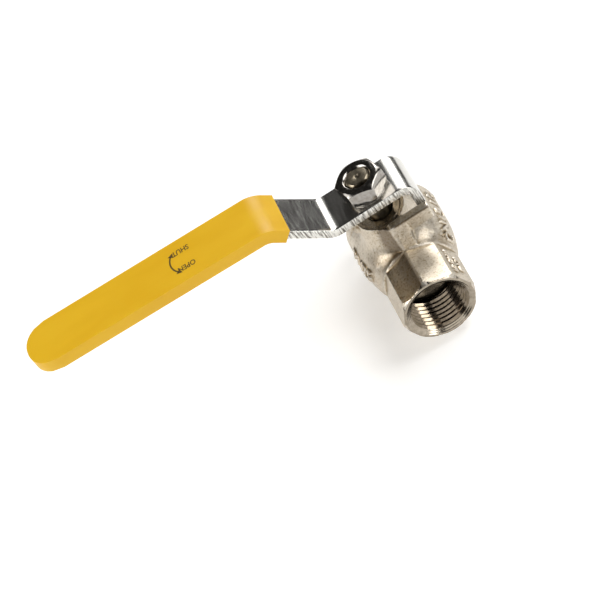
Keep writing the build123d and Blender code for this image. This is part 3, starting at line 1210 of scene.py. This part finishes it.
class VALVE_OT_inner_parts(bpy.types.Operator):
    """Give the sealed inner pieces their finishes"""

    bl_idname = "valve.inner_parts"
    bl_label = "Inner parts"

    def execute(self, context):
        finishes = {
            "ball": chromed_ball(),
            "packing_follower": bpy.data.materials["turned_pale_brass"],
            "end_cap_seal": moulded_nitrile(),
        }
        finishes["stem_o_ring"] = finishes["end_cap_seal"]
        white = turned_ptfe()
        for node in ("seat_ring_front", "seat_ring_rear", "stem_thrust_washer",
                     "packing_ring_lower", "packing_ring_upper"):
            finishes[node] = white
        for node, finish in finishes.items():
            for material_slot in bpy.data.objects[node].material_slots:
                material_slot.material = finish
        return {"FINISHED"}


class VALVE_OT_stage(bpy.types.Operator):
    """Set the floor, the soft lights and the camera"""

    bl_idname = "valve.stage"
    bl_label = "Stage"

    def execute(self, context):
        settings = context.scene.valve_stage
        make_floor()
        make_world(context.scene)
        make_lights()
        make_camera(context.scene, settings)
        context.scene.view_settings.view_transform = "Standard"
        return {"FINISHED"}


def make_floor():
    """A sheet of white paper, lit a little from below so that it stays white."""
    bpy.ops.mesh.primitive_plane_add(size=6.0, location=(0, 0, CAD_BOX[0].z - 0.4 * MM))
    floor = settle(newest())
    floor.name = "floor"
    material, tree, shader, spot = start("white_sweep_paper")
    clouds = add(tree, NOISE, {"Vector": spot, "Scale": per(400.0), "Detail": 3.0})
    wire(tree, shader, {
        "Base Color": add(tree, RAMP, {"Fac": clouds}, ((0.3, "#F4F4F3"), (0.7, "#F7F7F6"))),
        "Roughness": 0.9,
        "Emission Color": (1, 1, 1, 1),
        "Emission Strength": 0.25,
    })
    floor.data.materials.append(material)


def make_world(scene):
    world = bpy.data.worlds.new("studio")
    scene.world = world
    world.use_nodes = True
    background = world.node_tree.nodes["Background"]
    background.inputs["Color"].default_value = colour("#8A8784")
    background.inputs["Strength"].default_value = 0.12


def softbox(name, azimuth, elevation, spread, brightness, distance=900):
    """A flat lamp facing the valve, which spans two angles of its sky, in degrees.

    Azimuth 0 is behind the valve (+Y), and 90 is on its right (+X).
    """
    a, e = radians(azimuth), radians(elevation)
    away = Vector((sin(a) * cos(e), cos(a) * cos(e), sin(e)))
    centre = Vector((0, STEM_Y, 20)) * MM
    bpy.ops.object.light_add(type="AREA", location=centre + away * distance * MM)
    lamp = newest()
    lamp.name = name
    lamp.data.shape = "RECTANGLE"
    lamp.data.size, lamp.data.size_y = (2 * distance * MM * tan(radians(s / 2)) for s in spread)
    lamp.data.energy = brightness * pi * lamp.data.size * lamp.data.size_y
    lamp.rotation_mode = "QUATERNION"
    lamp.rotation_quaternion = away.to_track_quat("Z", "Y")


def make_lights():
    softbox("back_right_box", 29, 33, (20, 14), 8.5)
    softbox("back_right_halo", 29, 33, (36, 26), 2.5, 950)
    softbox("left_box", -96, 35, (28, 18), 5.0)
    softbox("left_halo", -96, 35, (52, 34), 2.2, 950)
    softbox("right_box", 95, 45, (40, 40), 4.2)
    softbox("front_box", 190, 16, (44, 24), 1.6)
    softbox("front_strip", 142, 9, (18, 16), 8.0)


def make_camera(scene, settings):
    a, e, r = (radians(v) for v in (settings.azimuth, settings.elevation, settings.roll))
    back = Vector((sin(a) * cos(e), -cos(a) * cos(e), sin(e)))
    right = Vector((cos(a), sin(a), 0))
    up = back.cross(right)
    rolled_right = right * cos(r) + up * sin(r)
    rolled_up = up * cos(r) - right * sin(r)
    bpy.ops.object.camera_add()
    camera = newest()
    camera.name = "camera"
    camera.location = Vector(settings.aim) * MM + back * settings.distance * MM
    camera.rotation_mode = "QUATERNION"
    turn = Matrix((rolled_right, rolled_up, back)).transposed()
    camera.rotation_quaternion = turn.to_quaternion()
    camera.data.lens = settings.lens
    camera.data.sensor_width = 36.0
    camera.data.clip_start = 0.01
    camera.data.clip_end = 20.0
    scene.camera = camera


# --------------------------------------------------------------------------------------
# Add-on
# --------------------------------------------------------------------------------------

OPERATORS = (
    VALVE_OT_stage,
    VALVE_OT_forged_body,
    VALVE_OT_end_cap,
    VALVE_OT_stem,
    VALVE_OT_lever,
    VALVE_OT_sleeve,
    VALVE_OT_print,
    VALVE_OT_lever_nut,
    VALVE_OT_inner_parts,
)
GROUPS = {
    "valve_forging": ForgingSettings,
    "valve_thread": ThreadSettings,
    "valve_lever": LeverSettings,
    "valve_finish": FinishSettings,
    "valve_stage": StageSettings,
}


class VALVE_PT_panel(bpy.types.Panel):
    """The valve's pieces, in the order that they are made"""

    bl_idname = "VALVE_PT_panel"
    bl_label = "Lever ball valve"
    bl_space_type = "VIEW_3D"
    bl_region_type = "UI"
    bl_category = "Valve"

    def draw(self, context):
        for operator in OPERATORS:
            self.layout.operator(operator.bl_idname, text=operator.bl_label)
        for name, group in GROUPS.items():
            box = self.layout.box()
            for key in group.__annotations__:
                box.prop(getattr(context.scene, name), key)


def register():
    for group in GROUPS.values():
        bpy.utils.register_class(group)
    for name, group in GROUPS.items():
        setattr(bpy.types.Scene, name, bpy.props.PointerProperty(type=group))
    for operator in OPERATORS:
        bpy.utils.register_class(operator)
    bpy.utils.register_class(VALVE_PT_panel)


def unregister():
    bpy.utils.unregister_class(VALVE_PT_panel)
    for operator in reversed(OPERATORS):
        bpy.utils.unregister_class(operator)
    for name, group in GROUPS.items():
        delattr(bpy.types.Scene, name)
        bpy.utils.unregister_class(group)


def main():
    register()
    for operator in OPERATORS:
        family, name = operator.bl_idname.split(".")
        getattr(getattr(bpy.ops, family), name)()


if __name__ == "__main__":
    main()
